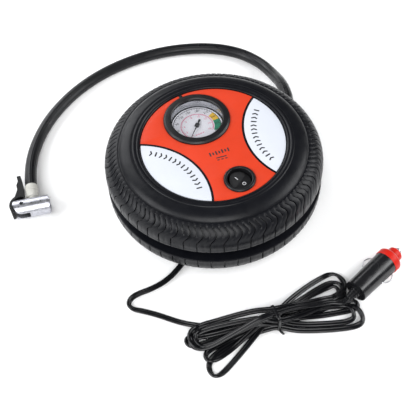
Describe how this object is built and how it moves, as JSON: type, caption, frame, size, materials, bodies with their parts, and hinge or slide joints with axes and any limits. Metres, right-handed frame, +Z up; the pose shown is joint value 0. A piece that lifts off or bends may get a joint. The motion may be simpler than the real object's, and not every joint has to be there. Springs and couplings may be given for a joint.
{
  "type": "tyre-shaped 12 volt air compressor",
  "caption": "Small tyre-shaped electric air pump with pressure gauge, rocker switch, valve chuck on a hose and a fused 12 volt lead.",
  "frame": {"origin": "centre of the round body, on the surface that it stands on", "axes": "+Z up out of the coloured face, switch towards -Y, gauge towards +Y"},
  "size_m": [0.2559, 0.3256, 0.0612],
  "materials": {
    "tyre_black": "fine moulded satin",
    "orange_face": "smooth satin gloss",
    "white_face": "smooth satin gloss",
    "trim_black": "semi gloss",
    "lens": "clear",
    "dial_white": "printed satin",
    "needle_dark": "dark grey paint",
    "steel": "plain",
    "brass": "plain",
    "magnet": "dull grey",
    "nylon": "natural nylon",
    "cast_metal": "as cast",
    "seal_rubber": "matte",
    "inner_tube": "soft tube",
    "hose_rubber": "ribbed, satin",
    "chuck_chrome": "bright plate",
    "lever_black": "satin",
    "ferrule_white": "dull ivory",
    "lead_black": "semi gloss",
    "plug_black": "semi gloss",
    "cap_red": "semi gloss",
    "fuse_glass": "clear tube"
  },
  "bodies": {
    "root": {"air_hose": "hose_rubber", "air_tubes": "inner_tube", "bourdon_tube": "brass", "bracket": "steel", "chuck_body": "chuck_chrome", "chuck_collar": "chuck_chrome", "chuck_core": "brass", "chuck_gasket": "seal_rubber", "cylinder": "cast_metal", "cylinder_head": "cast_metal", "fuse_spring": "steel", "gauge_bezel": "trim_black", "gauge_case": "steel", "gauge_dial": "dial_white", "gauge_glass": "lens", "gauge_movement": "steel", "gauge_stem": "brass", "gear_axle": "steel", "groove_drum": "tyre_black", "hank_tie": "lead_black", "head_gasket": "seal_rubber", "head_screws": "steel", "hose_ferrule": "ferrule_white", "hose_gland": "seal_rubber", "lead_grommet": "seal_rubber", "lead_hank": "lead_black", "left_panel": "white_face", "lever_pin": "steel", "lower_shell": "tyre_black", "motor_can": "steel", "motor_endcap": "nylon", "motor_magnets": "magnet", "orange_plate": "orange_face", "plug_barrel": "plug_black", "plug_cap": "cap_red", "plug_relief": "lead_black", "power_lead": "lead_black", "right_panel": "white_face", "shell_screws": "steel", "switch_housing": "trim_black", "switch_terminals": "brass", "upper_shell": "tyre_black", "valve_spring": "steel", "wires": "inner_tube"},
    "needle": {"gauge_needle": "needle_dark"},
    "sector": {"gauge_sector": "brass"},
    "rocker": {"switch_rocker": "trim_black"},
    "rotor": {"motor_rotor": "steel", "motor_pinion": "brass"},
    "crank": {"crank_gear": "nylon"},
    "piston": {"piston": "cast_metal", "piston_seal": "seal_rubber", "wrist_pin": "steel"},
    "rod": {"connecting_rod": "cast_metal"},
    "valve": {"outlet_valve": "seal_rubber"},
    "lever": {"chuck_lever": "lever_black"},
    "plug_contact": {"plug_tip": "steel", "plug_fuse": "fuse_glass"},
    "left_spring": {"left_side_spring": "steel"},
    "right_spring": {"right_side_spring": "steel"}
  },
  "joints": [
    {"name": "sector_swing", "type": "hinge", "parent": "root", "child": "sector", "pos_m": [0, 0.00965, 0.047], "axis": [0, 0, 1], "range_deg": [0, 33.75]},
    {"name": "needle_turn", "type": "hinge", "parent": "root", "child": "needle", "pos_m": [0, 0.02585, 0.051], "axis": [0, 0, -1], "range_deg": [0, 270]},
    {"name": "rocker_tilt", "type": "hinge", "parent": "root", "child": "rocker", "pos_m": [0, -0.04, 0.0546], "axis": [-0.8829, -0.4695, 0], "range_deg": [0, 20]},
    {"name": "motor_spin", "type": "hinge", "parent": "root", "child": "rotor", "pos_m": [0, -0.004, 0.0192], "axis": [1, 0, 0], "continuous": true},
    {"name": "crank_spin", "type": "hinge", "parent": "root", "child": "crank", "pos_m": [0.0222, 0.0152, 0.0291], "axis": [1, 0, 0], "continuous": true},
    {"name": "piston_stroke", "type": "slide", "parent": "root", "child": "piston", "axis": [0, -1, 0], "range_m": [0, 0.012]},
    {"name": "rod_swing", "type": "hinge", "parent": "piston", "child": "rod", "pos_m": [0.0352, -0.0098, 0.0291], "axis": [1, 0, 0], "range_deg": [-11.2, 11.2]},
    {"name": "valve_lift", "type": "slide", "parent": "root", "child": "valve", "axis": [0, -1, 0], "range_m": [0, 0.0012], "stiffness_N_per_m": 150, "springref_m": -0.002, "deforming": ["valve_spring"]},
    {"name": "lever_flip", "type": "hinge", "parent": "root", "child": "lever", "pos_m": [-0.14136, 0.05274, 0.0075], "axis": [0, 0, 1], "range_deg": [0, 80]},
    {"name": "tip_press", "type": "slide", "parent": "root", "child": "plug_contact", "axis": [-0.9617, -0.2739, 0], "range_m": [0, 0.0025], "stiffness_N_per_m": 700, "springref_m": -0.003, "deforming": ["fuse_spring"]},
    {"name": "left_spring_press", "type": "slide", "parent": "root", "child": "left_spring", "axis": [-0.2739, 0.9617, 0], "range_m": [0, 0.0026], "stiffness_N_per_m": 500},
    {"name": "right_spring_press", "type": "slide", "parent": "root", "child": "right_spring", "axis": [0.2739, -0.9617, 0], "range_m": [0, 0.0026], "stiffness_N_per_m": 500}
  ],
  "couplings": [
    {"joint": "needle_turn", "follows": "sector_swing", "ratio": 8},
    {"joint": "crank_spin", "follows": "motor_spin", "ratio": -0.2}
  ]
}
